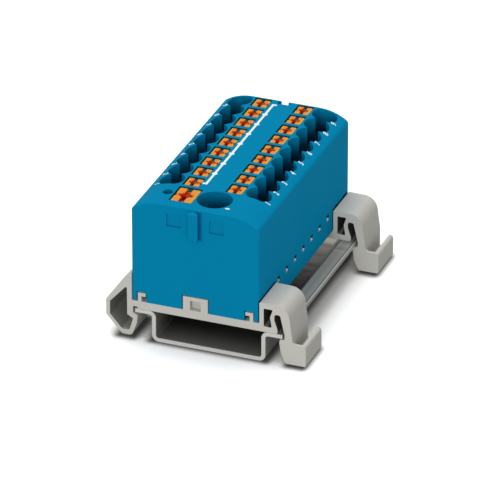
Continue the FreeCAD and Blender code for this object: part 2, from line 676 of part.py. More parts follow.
def make_foot(y_low):
    """Rail foot, one moulding: clips over both flanges of the rail and carries the housing."""
    y_high = y_low + FOOT_D
    leg_in = RAIL_W / 2 + TIP_GAP
    latch_x = RAIL_W / 2 + LATCH_REACH
    foot = extrusion(foot_outline(), y_low, y_high)
    pry_slot = block(leg_in + PRY_SLOT_IN, latch_x - PRY_SLOT_OUT, y_low + WEB_T, y_high + CUT,
                     PRY_SLOT_FLOOR, RAIL_H)
    holes = [extrusion(loop_window(), y_low - CUT, y_high + CUT),
             extrusion(arch_window(), y_low - CUT, y_high + CUT), pry_slot]
    foot = foot.cut(holes)
    stem_in = HOOK_U - HOOK_T
    hook_top = BASE_Z + HOOK_H
    adds = []
    for side in (LEFT, RIGHT):
        adds.append(side_block(side, stem_in, HOOK_U, y_low, y_high, BASE_Z - ROOT, hook_top))
        adds.append(side_block(side, stem_in - HOOK_ARM, stem_in, y_low, y_high, hook_top - HOOK_T, hook_top))
    tab = side_block(RIGHT, -TAB_W / 2, TAB_W / 2, y_low, y_low + TAB_D, BASE_Z - ROOT, BASE_Z + TAB_H)
    tab_hole = side_block(RIGHT, -TAB_HOLE_W / 2, TAB_HOLE_W / 2, y_low - CUT, y_low + TAB_HOLE_DEPTH,
                          BASE_Z + TAB_HOLE_LIFT, BASE_Z + TAB_HOLE_LIFT + TAB_HOLE_H)
    adds.append(tab.cut(tab_hole))
    return foot.fuse(adds).removeSplitter()


def make_rail():
    """Length of top-hat rail, open side up."""
    hat = (RAIL_HAT_W - RAIL_T) / 2
    tip = RAIL_W / 2
    low = RAIL_T / 2
    high = RAIL_H - RAIL_T / 2
    path = [(-tip, high, 0), (-hat, high, RAIL_BEND_R), (-hat, low, RAIL_BEND_R),
            (hat, low, RAIL_BEND_R), (hat, high, RAIL_BEND_R), (tip, high, 0)]
    return extrusion(strip(path, RAIL_T), FRONT_Y, REAR_Y + RAIL_REAR_RUN)


def make_parts():
    """All nodes by name."""
    parts = {
        "housing": make_housing(),
        "base_plate": make_base_plate(),
        "busbar": make_busbar(),
        "rail_foot_front": make_foot(FRONT_Y),
        "rail_foot_rear": make_foot(REAR_Y - FOOT_D),
        "din_rail": make_rail(),
    }
    row_span = cell_spring_span()
    for name, side in (("left", LEFT), ("right", RIGHT)):
        for number, y in enumerate(CELL_YS, 1):
            parts[f"button_{name}_{number}"] = make_button(
                side, BUTTON_U, BUTTON_W, BUTTON_D, y, BUTTON_D, row_span, SPRING_T, 1)
            parts[f"clamp_spring_{name}_{number}"] = make_spring(side, row_span, SPRING_T, SPRING_W, y)
    feed_span = feed_spring_span()
    feed_stem = FEED_SPRING_W - 2 * COLLAR_GAP
    parts["button_feed"] = make_button(RIGHT, FEED_BUTTON_U, FEED_BUTTON_W, FEED_BUTTON_D, FEED_CENTRE_Y,
                                       feed_stem, feed_span, FEED_SPRING_T, FEED_RECESS_SCALE)
    parts["clamp_spring_feed"] = make_spring(RIGHT, feed_span, FEED_SPRING_T, FEED_SPRING_W, FEED_CENTRE_Y)
    return parts


os.makedirs("parts", exist_ok=True)
for node, shape in make_parts().items():
    solid = shape.Solids[0]
    solid.exportStep(f"parts/{node}.step")
    print(node, len(shape.Solids), solid.isValid(), round(solid.Volume, 2))
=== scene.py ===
"""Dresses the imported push-in distribution block.

It adds softened edges, finishes, printed marks, a studio and the camera.
"""

import logging
import math
from dataclasses import dataclass, field
from enum import Enum
from typing import Any

import bmesh
import bpy
from mathutils import Matrix, Vector


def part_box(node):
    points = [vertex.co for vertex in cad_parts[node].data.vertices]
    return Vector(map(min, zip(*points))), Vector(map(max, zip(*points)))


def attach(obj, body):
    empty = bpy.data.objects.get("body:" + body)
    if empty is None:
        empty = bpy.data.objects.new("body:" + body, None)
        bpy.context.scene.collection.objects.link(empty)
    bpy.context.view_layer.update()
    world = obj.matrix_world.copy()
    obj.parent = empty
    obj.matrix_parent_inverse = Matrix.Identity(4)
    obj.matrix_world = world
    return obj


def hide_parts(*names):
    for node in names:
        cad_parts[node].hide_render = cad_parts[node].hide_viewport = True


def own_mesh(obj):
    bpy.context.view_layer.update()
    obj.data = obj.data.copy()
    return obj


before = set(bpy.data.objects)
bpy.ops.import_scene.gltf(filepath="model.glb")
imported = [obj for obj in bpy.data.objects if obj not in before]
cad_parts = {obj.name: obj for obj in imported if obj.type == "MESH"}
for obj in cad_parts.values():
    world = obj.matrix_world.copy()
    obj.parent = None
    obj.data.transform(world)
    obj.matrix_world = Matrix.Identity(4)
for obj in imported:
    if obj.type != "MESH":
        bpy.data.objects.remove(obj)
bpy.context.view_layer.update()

LOG = logging.getLogger("distribution_block")
MM = 0.001
BODY = "block"
CELL_COUNT = 9

# Octaves of a soft and of a fine grain, and the roughness and the mean of both.
SOFT_DETAIL = 3.0
FINE_DETAIL = 2.0
NOISE_ROUGHNESS = 0.55
NOISE_MEAN = 0.5

# Upward part of the normal at which a face starts to count as a top, and counts fully.
FACES_UP = (0.5, 0.9)

Colour = tuple[float, float, float]
Triple = tuple[float, float, float]
Span = tuple[float, float]


class Row(Enum):
    """The two rows of clamping cells, with the side of the mid-plane that each lies on."""

    LEFT = -1
    RIGHT = 1

    @property
    def label(self) -> str:
        """Name of the row as it stands in the node names."""
        return self.name.lower()


class Signal:
    """A value socket that takes part in ordinary sums."""

    def __init__(self, bench: "Bench", socket: bpy.types.NodeSocket) -> None:
        """Wraps one output socket.

        Args:
            bench: The node bench that the socket belongs to.
            socket: The output socket.
        """
        self.bench = bench
        self.socket = socket

    def math(self, operation: str, *operands: "Signal | float") -> "Signal":
        """Adds one Math node.

        Args:
            operation: The Math node's operation.
            operands: Its inputs in order.

        Returns:
            The node's result.
        """
        inputs = dict(enumerate(operands))
        node = self.bench.node("ShaderNodeMath", {"operation": operation}, inputs)
        return Signal(self.bench, node.outputs[0])

    def __add__(self, other: "Signal | float") -> "Signal":
        """Sum."""
        return self.math("ADD", self, other)

    def __radd__(self, other: float) -> "Signal":
        """Sum with a number on the left."""
        return self.math("ADD", other, self)

    def __sub__(self, other: "Signal | float") -> "Signal":
        """Difference."""
        return self.math("SUBTRACT", self, other)

    def __rsub__(self, other: float) -> "Signal":
        """Difference from a number on the left."""
        return self.math("SUBTRACT", other, self)

    def __mul__(self, other: "Signal | float") -> "Signal":
        """Product."""
        return self.math("MULTIPLY", self, other)

    def __rmul__(self, other: float) -> "Signal":
        """Product with a number on the left."""
        return self.math("MULTIPLY", other, self)

    def __abs__(self) -> "Signal":
        """Size without its sign."""
        return self.math("ABSOLUTE", self)

    def higher(self, other: "Signal | float") -> "Signal":
        """The larger of two values."""
        return self.math("MAXIMUM", self, other)

    def lower(self, other: "Signal | float") -> "Signal":
        """The smaller of two values."""
        return self.math("MINIMUM", self, other)

    def folded(self, half: float) -> "Signal":
        """Distance from the nearest multiple of twice the half."""
        return self.math("PINGPONG", self, half)

    def root(self) -> "Signal":
        """Square root."""
        return self.math("SQRT", self)

    def ramp(self, low: float, high: float) -> "Signal":
        """Smooth step from 0 at one value to 1 at another.

        Args:
            low: Value that gives 0.
            high: Value that gives 1.

        Returns:
            The eased mask.
        """
        node = self.bench.node(
            "ShaderNodeMapRange",
            {"interpolation_type": "SMOOTHSTEP", "clamp": True},
            {"Value": self, "From Min": low, "From Max": high, "To Min": 0.0, "To Max": 1.0},
        )
        return Signal(self.bench, node.outputs["Result"])

    def fade(self, low: float, high: float) -> "Signal":
        """Smooth step from 1 at one value to 0 at another.

        Args:
            low: Value that gives 1.
            high: Value that gives 0.

        Returns:
            The eased mask.
        """
        return 1.0 - self.ramp(low, high)


class Bench:
    """The node tree of one material or world, with one way to add a node."""

    def __init__(self, tree: bpy.types.NodeTree) -> None:
        """Clears the tree.

        Args:
            tree: Node tree to fill.
        """
        self.tree = tree
        tree.nodes.clear()

    def node(self, kind: str, settings: dict[str, Any], inputs: dict[Any, Any]) -> bpy.types.Node:
        """Adds a node, sets its settings first and then its sockets.

        Args:
            kind: Node type.
            settings: Attributes by name.
            inputs: Values or links by socket name or number.

        Returns:
            The new node.
        """
        node = self.tree.nodes.new(kind)
        for name, value in settings.items():
            setattr(node, name, value)
        for name, value in inputs.items():
            source = value.socket if isinstance(value, Signal) else value
            if isinstance(source, bpy.types.NodeSocket):
                self.tree.links.new(source, node.inputs[name])
            else:
                node.inputs[name].default_value = source
        return node

    def place(self) -> bpy.types.NodeSocket:
        """Object coordinates, which are the part's own frame in metres."""
        return self.node("ShaderNodeTexCoord", {}, {}).outputs["Object"]

    def axes(self, vector: bpy.types.NodeSocket) -> tuple[Signal, Signal, Signal]:
        """Splits a vector.

        Args:
            vector: Vector socket.

        Returns:
            Its X, Y and Z parts.
        """
        parts = self.node("ShaderNodeSeparateXYZ", {}, {"Vector": vector}).outputs
        return Signal(self, parts["X"]), Signal(self, parts["Y"]), Signal(self, parts["Z"])

    def facing(self) -> tuple[Signal, Signal, Signal]:
        """Parts of the surface's own normal."""
        return self.axes(self.node("ShaderNodeNewGeometry", {}, {}).outputs["True Normal"])

    def grain(self, size: float, detail: float, stretch: Triple = (1.0, 1.0, 1.0)) -> Signal:
        """Noise over the surface.

        Args:
            size: Size of one grain in metres.
            detail: Octaves of finer noise.
            stretch: How many times longer the grain is along each axis.

        Returns:
            The noise, around its mean.
        """
        scale = tuple(1.0 / part for part in stretch)
        mapping = self.node("ShaderNodeMapping", {}, {"Vector": self.place(), "Scale": scale})
        noise = self.node("ShaderNodeTexNoise", {"noise_dimensions": "3D"}, {
            "Vector": mapping.outputs[0],
            "Scale": 1.0 / size,
            "Detail": detail,
            "Roughness": NOISE_ROUGHNESS,
        })
        return Signal(self, noise.outputs[0])

    def mix(self, share: Signal, first: Any, second: Any) -> bpy.types.NodeSocket:
        """Blends two colours.

        Args:
            share: 0 gives the first colour, 1 the second.
            first: Colour or colour socket.
            second: Colour or colour socket.

        Returns:
            Colour socket.
        """
        low, high = [(*colour, 1.0) if isinstance(colour, tuple) else colour for colour in (first, second)]
        settings = {"data_type": "RGBA", "clamp_factor": True}
        return self.node("ShaderNodeMix", settings, {0: share, 6: low, 7: high}).outputs[2]

    def bump(self, height: Signal, depth: float) -> bpy.types.NodeSocket:
        """Small relief for the Normal socket.

        Args:
            height: Height between 0 and 1.
            depth: Depth of the relief in metres.

        Returns:
            Normal socket.
        """
        sockets = {"Height": height, "Distance": depth, "Strength": 1.0}
        return self.node("ShaderNodeBump", {}, sockets).outputs["Normal"]

    def surface(self, inputs: dict[str, Any]) -> None:
        """Ends the tree in a Principled shader.

        Args:
            inputs: Values or links of its sockets.
        """
        shader = self.node("ShaderNodeBsdfPrincipled", {}, inputs)
        self.node("ShaderNodeOutputMaterial", {}, {"Surface": shader.outputs[0]})


def new_bench(name: str) -> tuple[bpy.types.Material, Bench]:
    """Makes an empty material.

    Args:
        name: Name of the material.

    Returns:
        The material and its bench.
    """
    material = bpy.data.materials.new(name)
    material.use_nodes = True
    return material, Bench(material.node_tree)


def link(name: str, data: bpy.types.ID) -> bpy.types.Object:
    """Puts a new object into the scene.

    Args:
        name: Name of the object.
        data: Its mesh, curve, lamp or camera.

    Returns:
        The new object.
    """
    thing = bpy.data.objects.new(name, data)
    bpy.context.scene.collection.objects.link(thing)
    return thing


def to_mesh(name: str, shell: bmesh.types.BMesh, material: bpy.types.Material) -> bpy.types.Mesh:
    """Turns a finished bmesh into a mesh with one finish.

    Args:
        name: Name of the mesh.
        shell: The bmesh; it is freed.
        material: The finish.

    Returns:
        The new mesh.
    """
    mesh = bpy.data.meshes.new(name)
    shell.to_mesh(mesh)
    shell.free()
    mesh.materials.append(material)
    return mesh


@dataclass(frozen=True)
class MouldSkin:
    """Soft clouding and fine spark-eroded pores of a moulded surface."""

    roughness: float = 0.5
    cloud_size: float = 9.0 * MM
    cloud_span: Span = (0.3, 0.7)
    cloud_gloss: float = 0.06
    pore_size: float = 0.16 * MM
    pore_gloss: float = 0.12
    pore_depth: float = 0.004 * MM

    def cloud(self, bench: Bench) -> Signal:
        """Slow clouding over the surface."""
        return bench.grain(self.cloud_size, SOFT_DETAIL)

    def tint(self, bench: Bench, cloud: Signal, colour: Colour, shade: Colour) -> bpy.types.NodeSocket:
        """Clouded colour of the plastic.

        Args:
            bench: Node bench of the material.
            cloud: The clouding.
            colour: Its one colour.
            shade: Its other colour.

        Returns:
            Colour socket.
        """
        return bench.mix(cloud.ramp(*self.cloud_span), colour, shade)

    def finish(self, bench: Bench, cloud: Signal, colour: bpy.types.NodeSocket, shine: float) -> None:
        """Ends the tree in the moulding's shader.

        Args:
            bench: Node bench of the material.
            cloud: The clouding.
            colour: Colour of the surface.
            shine: Specular level.
        """
        pores = bench.grain(self.pore_size, FINE_DETAIL)
        cloudy = self.cloud_gloss * (cloud - NOISE_MEAN)
        bench.surface({
            "Base Color": colour,
            "Roughness": self.roughness + self.pore_gloss * (pores - NOISE_MEAN) + cloudy,
            "Specular IOR Level": shine,
            "Normal": bench.bump(pores, self.pore_depth),
        })


@dataclass(frozen=True)
class Hollow:
    """A tunnel through a rail foot, known by a place in its middle, that puts painted shade on the foot's
    surface inside it.
    """

    x: float
    z: float
    reach: float
    shade_share: float
    turn: float = 0.1 * MM
    rim_share: float = 0.9
    floor_light: float = 0.45

    def mask(self, place: tuple[Signal, Signal], normal: tuple[Signal, Signal]) -> Signal:
        """Painted shade that the tunnel puts on the surface.

        Args:
            place: X and Z of the surface.
            normal: The same parts of its normal.

        Returns:
            0 outside, the share of painted shade on the tunnel's walls, less on its floor.
        """
        along, rise = place[0] - self.x, place[1] - self.z
        across, upward = normal
        inward = (along * across + rise * upward).ramp(0.0, -self.turn)
        near = (along * along + rise * rise).fade(self.rim_share * self.reach ** 2, self.reach ** 2)
        return self.shade_share * inward * near * (1.0 - self.floor_light * upward.ramp(*FACES_UP))


@dataclass(frozen=True)
class FootPlastic:
    """Satin grey polyamide with a fine spark-eroded grain, with painted shade inside its hollows and on its
    sides that face +X.
    """

    name: str
    hollows: tuple[Hollow, ...]
    mould: MouldSkin = MouldSkin()
    colour: Colour = (0.64, 0.63, 0.58)
    shade: Colour = (0.615, 0.605, 0.555)
    # Painted shade on the sides that face +X.
    flank_shade: Colour = (0.485, 0.48, 0.44)
    # Painted shade inside the hollows.
    recess_shade: Colour = (0.045, 0.044, 0.040)
    flank_shade_span: Span = (0.3, 1.0)
    shine: float = 0.05

    def build(self) -> bpy.types.Material:
        """Makes the material.

        Returns:
            The finished material.
        """
        material, bench = new_bench(self.name)
        x, _, z = bench.axes(bench.place())
        across, _, upward = bench.facing()
        cloud = self.mould.cloud(bench)
        tint = self.mould.tint(bench, cloud, self.colour, self.shade)
        # Painted shade on the sides that face +X.
        side_shaded = bench.mix(across.ramp(*self.flank_shade_span), tint, self.flank_shade)
        # Painted shade inside the hollows.
        masks = [hollow.mask((x, z), (across, upward)) for hollow in self.hollows]
        dark = sum(masks[1:], masks[0])
        self.mould.finish(bench, cloud, bench.mix(dark, side_shaded, self.recess_shade), self.shine)
        return material


@dataclass(frozen=True)
class ButtonGrid:
    """Where the heads of a set of equal buttons lie on the crown."""

    middle: float
    offset: float
    first: float
    pitch: float
    half_width: float
    half_depth: float
    lead_start: float = 0.5
    lead_end: float = 0.6

    def outside(self, x: Signal, y: Signal) -> Signal:
        """Distance past the nearest head's outline.

        Args:
            x: Place across the rail.
            y: Place along the rail.

        Returns:
            Metres, negative inside the outline and far out ahead of the first head.
        """
        across = abs(abs(x - self.middle) - self.offset) - self.half_width
        along = (y - self.first).folded(self.pitch / 2) - self.half_depth
        ahead = y.ramp(self.first - self.lead_start * self.pitch, self.first - self.lead_end * self.pitch)
        return across.higher(along) + ahead


@dataclass(frozen=True)
class HousingPlastic:
    """Blue moulded polyamide, with painted shade down in its funnels, round its buttons, round the feet's
    arches and beside the coupling rib, and painted light on its slit floors.
    """

    name: str
    middle: float
    flat: float
    inner: float
    outer: float
    end: float
    crown: float
    crown_drop: float
    slit_floor: float
    branch: ButtonGrid
    feed: ButtonGrid
    foot_y: float
    half_foot: float
    arch_top: float
    mould: MouldSkin = MouldSkin()
    colour: Colour = (0.0014, 0.247, 0.459)
    shade: Colour = (0.0014, 0.240, 0.447)
    # Painted shade down in the funnels and slots.
    recess_shade: Colour = (0.0010, 0.036, 0.080)
    # Painted light on the floors of the side slits.
    slit_light: Colour = (0.92, 0.97, 0.98)
    # Painted shade round the buttons, at the top of their slots.
    seam: Colour = (0.012, 0.050, 0.050)
    # Painted shade round the arches of the rail feet.
    crease: Colour = (0.001, 0.030, 0.060)
    dusk: Colour = (0.0005, 0.125, 0.310)
    blur: float = 0.12 * MM
    end_skin: float = 0.48 * MM
    tip_half: float = 0.2 * MM
    seam_core: float = 0.186 * MM
    seam_width: float = 0.31 * MM
    seam_full: float = 0.3 * MM
    seam_depth: float = 0.6 * MM
    crease_core: float = 0.1 * MM
    crease_width: float = 0.45 * MM
    rib_edge: float = 1.0 * MM
    rib_low: float = 27.35 * MM
    rib_high: float = 34.2 * MM
    rib_neck: float = 0.6 * MM
    dusk_start: float = 0.4 * MM
    dusk_core: float = 0.16 * MM
    dusk_width: float = 0.8 * MM
    dusk_rise: Span = (-0.1 * MM, 0.2 * MM)
    dusk_depth: Span = (0.02 * MM, 0.06 * MM)
    feed_light: float = 0.28
    feed_rear: float = -19.0 * MM
    feed_side: float = 7.5 * MM
    feed_ease: float = 0.5 * MM
    shallow: float = 0.5 * MM
    deepest: float = 5.5 * MM
    shine: float = 0.004

    def build(self) -> bpy.types.Material:
        """Makes the material.

        Returns:
            The finished material.
        """
        material, bench = new_bench(self.name)
        x, y, z = bench.axes(bench.place())
        offset = abs(x - self.middle)
        last = self.end - self.end_skin
        within_sides = offset.fade(self.outer - 2 * self.blur, self.outer - self.blur)
        inside = within_sides * abs(y).fade(last - self.blur, last)
        cloud = self.mould.cloud(bench)
        colour = self.mould.tint(bench, cloud, self.colour, self.shade)
        # Painted shade round the buttons.
        colour = bench.mix(self._gap_shade(x, y, z), colour, self.seam)
        # Painted shade round the feet's arches.
        colour = bench.mix(self._crease_shade(x, y, z), colour, self.crease)
        colour = bench.mix(self._beside_rib(x, y, z), colour, self.dusk)
        # Painted shade down in the funnels.
        colour = bench.mix(inside * self._funnel_shade(offset, y, z), colour, self.recess_shade)
        # Painted light on the slit floors.
        colour = bench.mix(inside * self._lit_slit_floors(offset, z), colour, self.slit_light)
        self.mould.finish(bench, cloud, colour, self.shine)
        return material

    def _gap_shade(self, x: Signal, y: Signal, z: Signal) -> Signal:
        """Painted shade: a dark line round each button, at the top of its slot.

        Args:
            x: Place across the rail.
            y: Place along the rail.
            z: Height.

        Returns:
            Its mask.
        """
        gap = self.branch.outside(x, y).lower(self.feed.outside(x, y))
        upper = z.ramp(self.crown - self.seam_depth, self.crown - self.seam_full)
        return upper * gap.fade(self.seam_core, self.seam_width)

    def _crease_shade(self, x: Signal, y: Signal, z: Signal) -> Signal:
        """Painted shade: a dark line on the right side, round the arches of the rail feet.

        Args:
            x: Place across the rail.
            y: Place along the rail.
            z: Height.

        Returns:
            Its mask.
        """
        past_foot = abs(abs(y) - self.foot_y) - self.half_foot
        over = past_foot.higher(z - self.arch_top)
        beside = (x - self.middle).ramp(self.outer - 2 * self.blur, self.outer - self.blur)
        return beside * over.fade(self.crease_core, self.crease_width)

    def _beside_rib(self, x: Signal, y: Signal, z: Signal) -> Signal:
        """Shade on the front, right of the coupling rib and behind its head.

        Args:
            x: Place across the rail.
            y: Place along the rail.
            z: Height.

        Returns:
            Its mask.
        """
        past = x - self.middle - self.rib_edge
        centre = (self.rib_high + self.rib_low) / 2
        level = (abs(z - centre) - (self.rib_high - centre)).fade(*self.dusk_rise)
        behind = abs(y + self.end + self.rib_neck / 2) - self.rib_neck / 2
        beside = past.ramp(-self.rib_edge, self.dusk_start - self.rib_edge) * past.fade(
            self.dusk_core, self.dusk_width)
        return level * beside * behind.fade(*self.dusk_depth)

    def _funnel_shade(self, offset: Signal, y: Signal, z: Signal) -> Signal:
        """Painted shade by how far down in a funnel or slot the surface lies, less in the wide feed funnel.

        Args:
            offset: Distance from the mid-plane.
            y: Place along the rail.
            z: Height.

        Returns:
            0 at the crown, 1 far down.
        """
        past = (offset - self.flat).higher(0.0)
        fall = past * past * (self.crown_drop / (self.outer - self.flat) ** 2)
        in_feed = y.fade(self.feed_rear, self.feed_rear + self.feed_ease) * offset.fade(
            self.feed_side, self.feed_side + self.feed_ease)
        lit = 1.0 - self.feed_light * in_feed
        return lit * (self.crown - fall - z).ramp(self.shallow, self.deepest)

    def _lit_slit_floors(self, offset: Signal, z: Signal) -> Signal:
        """Painted light on the lower part of the side slits.

        Args:
            offset: Distance from the mid-plane.
            z: Height.

        Returns:
            Its mask.
        """
        level = abs(z - self.slit_floor - self.tip_half).fade(self.tip_half, self.tip_half + self.blur)
        return level * offset.ramp(self.inner, self.inner + self.blur)


@dataclass(frozen=True)
class ButtonPlastic:
    """Orange polyamide with a painted highlight, yellower, on the rim of the head, and painted shade, red,
    down in the screwdriver recess.
    """

    name: str
    top: float
    grid: ButtonGrid
    mould: MouldSkin = MouldSkin(
        roughness=0.45, cloud_size=2.2 * MM, cloud_span=(0.35, 0.65), cloud_gloss=0.0,
        pore_size=0.14 * MM, pore_gloss=0.14)
    colour: Colour = (0.83, 0.235, 0.018)
    warm: Colour = (0.86, 0.29, 0.03)
    # Painted highlight on the rim of the head.
    rim: Colour = (0.80, 0.52, 0.13)
    # Painted shade down in the recess, darkest lowest down.
    recess_shade: Colour = (0.66, 0.060, 0.005)
    recess_core_shade: Colour = (0.36, 0.012, 0.001)
    rim_inner: float = 0.42 * MM
    rim_outer: float = 0.24 * MM
    rim_depth: float = 0.22 * MM
    recess_lip: float = 0.08 * MM
    recess_depth: float = 0.35 * MM
    recess_core_shade_lip: float = 0.6 * MM
    recess_core_shade_depth: float = 1.3 * MM
    shine: float = 0.12

    def build(self) -> bpy.types.Material:
        """Makes the material.

        Returns:
            The finished material.
        """
        material, bench = new_bench(self.name)
        x, y, height = bench.axes(bench.place())
        cloud = self.mould.cloud(bench)
        body = self.mould.tint(bench, cloud, self.colour, self.warm)
        edge = self.grid.outside(x, y).ramp(-self.rim_inner, -self.rim_outer)
        crest = height.ramp(self.top - 2 * self.rim_depth, self.top - self.rim_depth)
        sunk = height.fade(self.top - self.recess_depth, self.top - self.recess_lip)
        lowest = height.fade(self.top - self.recess_core_shade_depth, self.top - self.recess_core_shade_lip)
        # Painted highlight on the rim.
        colour = bench.mix(edge * crest, body, self.rim)
        # Painted shade down in the recess, darker lowest down.
        colour = bench.mix((1.0 - edge) * sunk, colour, self.recess_shade)
        colour = bench.mix((1.0 - edge) * lowest, colour, self.recess_core_shade)
        self.mould.finish(bench, cloud, colour, self.shine)
        return material


@dataclass(frozen=True)
class RailSteel:
    """Rolled and zinc-plated strip: streaks along the rail, painted shade lines by its bends, a painted
    highlight on its flange rims, painted shade below the block, and paler sawn ends.
    """

    name: str
    front: float
    flange: float
    colour: Colour = (0.345, 0.335, 0.305)
    streak: Colour = (0.30, 0.29, 0.265)
    # Paler bands towards the rear, and the painted highlight on the flange rims.
    light: Colour = (0.56, 0.55, 0.51)
    # Painted shade lines by the bend and inside the rim.
    line: Colour = (0.09, 0.085, 0.08)
    sawn: Colour = (0.68, 0.68, 0.65)
    # Painted shade in the channel below the block, less at its front mouth, and painted light towards the
    # rear.
    mouth: Colour = (0.20, 0.20, 0.19)
    channel: Colour = (0.035, 0.033, 0.031)
    far: Colour = (0.42, 0.405, 0.38)
    brown: Colour = (0.29, 0.245, 0.215)
    wall: float = 13.0 * MM
    bend: float = 13.8 * MM
    bend_line: float = 13.95 * MM
    bend_line_span: Span = (0.08 * MM, 0.18 * MM)
    rim: float = 17.15 * MM
    rim_line: float = 17.0 * MM
    rim_line_span: Span = (0.05 * MM, 0.14 * MM)
    rim_blur: float = 0.05 * MM
    blur: float = 0.1 * MM
    sheet_low: float = 0.9 * MM
    sheet_high: float = 0.7 * MM
    mouth_length: float = 10.0 * MM
    far_span: Span = (-6.0 * MM, 19.0 * MM)
    paler_span: Span = (6.0 * MM, 17.0 * MM)
    paler_share: float = 0.5
    cut_span: Span = (0.6, 0.9)
    streak_size: float = 0.9 * MM
    streak_length: float = 60.0
    streak_span: Span = (0.35, 0.68)
    cloud_size: float = 4.0 * MM
    cloud_length: float = 4.0
    band_size: float = 3.4 * MM
    band_length: float = 60.0
    paler_bands: Span = (0.4, 0.6)
    brown_bands: Span = (0.42, 0.66)
    metal: float = 0.3
    roughness: float = 0.45
    streak_gloss: float = 0.06
    cloud_gloss: float = 0.1
    cut_gloss: float = 0.2
    shine: float = 0.15
    streak_depth: float = 0.001 * MM

    def build(self) -> bpy.types.Material:
        """Makes the material.

        Returns:
            The finished material.
        """
        material, bench = new_bench(self.name)
        _, lengthwise, upward = bench.facing()
        x, y, z = bench.axes(bench.place())
        side = abs(x)
        cut = abs(lengthwise).ramp(*self.cut_span)
        streaks = bench.grain(self.streak_size, SOFT_DETAIL, (1.0, self.streak_length, 1.0))
        cloud = bench.grain(self.cloud_size, SOFT_DETAIL, (1.0, self.cloud_length, 1.0))
        bands = bench.grain(self.band_size, FINE_DETAIL, (self.band_length, 1.0, self.band_length))
        upper = z.ramp(self.flange - self.sheet_low, self.flange - self.sheet_high)
        flange = self._flange(bench, side, y, upward.ramp(*FACES_UP) * upper, (streaks, bands))
        inner = side.fade(self.wall - self.blur, self.wall + self.blur)
        curled = side.fade(self.bend - self.blur, self.bend + self.blur) * upper
        colour = bench.mix(inner.higher(curled), flange, self._tray(bench, y, bands))
        rolled = self.streak_gloss * (streaks - NOISE_MEAN) + self.cloud_gloss * cloud
        bench.surface({
            "Base Color": bench.mix(cut, colour, self.sawn),
            "Metallic": self.metal * (1.0 - cut),
            "Roughness": self.roughness + rolled + self.cut_gloss * cut,
            "Specular IOR Level": self.shine,
            "Normal": bench.bump(streaks * (1.0 - cut), self.streak_depth),
        })
        return material

    def _flange(self, bench: Bench, side: Signal, y: Signal, on_top: Signal,
                noise: tuple[Signal, Signal]) -> bpy.types.NodeSocket:
        """Colour of the flanges, paler in bands towards the rear, with painted shade lines by the bend and
        inside the rim, and a painted highlight on the rim.

        Args:
            bench: Node bench of the material.
            side: Distance from the rail's mid-plane.
            y: Place along the rail.
            on_top: 1 on the flanges' upper faces.
            noise: Streaks along the rail and bands across it.

        Returns:
            Colour socket.
        """
        streaks, bands = noise
        rolled = bench.mix(streaks.ramp(*self.streak_span), self.colour, self.streak)
        # Paler in bands towards the rear.
        paler_rearward = self.paler_share * y.ramp(*self.paler_span) * bands.ramp(*self.paler_bands)
        colour = bench.mix(paler_rearward, rolled, self.light)
        # Painted shade lines by the bend and inside the rim.
        lines = on_top * (2.0 - abs(side - self.bend_line).ramp(*self.bend_line_span)
                          - abs(side - self.rim_line).ramp(*self.rim_line_span))
        colour = bench.mix(lines, colour, self.line)
        # Painted highlight on the rim.
        edge = side.ramp(self.rim - self.rim_blur, self.rim + self.rim_blur)
        return bench.mix(on_top * edge, colour, self.light)

    def _tray(self, bench: Bench, y: Signal, bands: Signal) -> bpy.types.NodeSocket:
        """Colour of the channel: painted shade, dark below the block and less dark at its front mouth, with
        painted light in brownish bands towards the rear.

        Args:
            bench: Node bench of the material.
            y: Place along the rail.
            bands: Bands across the rail.

        Returns:
            Colour socket.
        """
        nearest = y.fade(self.front, self.front + self.mouth_length)
        # Painted shade below the block, less at the front mouth; painted light towards the rear.
        dark = bench.mix(nearest, self.channel, self.mouth)
        glow = bench.mix(bands.ramp(*self.brown_bands), self.far, self.brown)
        return bench.mix(y.ramp(*self.far_span), dark, glow)


@dataclass(frozen=True)
class SheetMetal:
    """Thin metal strip for the contacts and the springs."""

    name: str
    colour: Colour
    tarnish: Colour
    roughness: float = 0.28
    cloud_size: float = 1.5 * MM
    cloud_span: Span = (0.35, 0.7)
    line_size: float = 0.1 * MM
    line_length: float = 30.0
    line_gloss: float = 0.15
    line_depth: float = 0.002 * MM

    def build(self) -> bpy.types.Material:
        """Makes the material.

        Returns:
            The finished material.
        """
        material, bench = new_bench(self.name)
        cloud = bench.grain(self.cloud_size, SOFT_DETAIL)
        lines = bench.grain(self.line_size, FINE_DETAIL, (self.line_length, 1.0, 1.0))
        bench.surface({
            "Base Color": bench.mix(cloud.ramp(*self.cloud_span), self.colour, self.tarnish),
            "Metallic": 1.0,
            "Roughness": self.roughness + self.line_gloss * (lines - NOISE_MEAN),
            "Normal": bench.bump(lines, self.line_depth),
        })
        return material


@dataclass(frozen=True)
class PrintInk:
    """White pad print, slightly thin in places."""

    name: str
    colour: Colour = (0.84, 0.95, 0.96)
    thin: Colour = (0.66, 0.80, 0.85)
    speck_size: float = 0.3 * MM
    speck_span: Span = (0.56, 0.74)
    speck_gloss: float = 0.1
    speck_depth: float = 0.003 * MM
    roughness: float = 0.5

    def build(self) -> bpy.types.Material:
        """Makes the material.

        Returns:
            The finished material.
        """
        material, bench = new_bench(self.name)
        speck = bench.grain(self.speck_size, SOFT_DETAIL)
        bench.surface({
            "Base Color": bench.mix(speck.ramp(*self.speck_span), self.colour, self.thin),
            "Roughness": self.roughness + self.speck_gloss * (speck - NOISE_MEAN),
            "Normal": bench.bump(speck, self.speck_depth),
        })
        return material


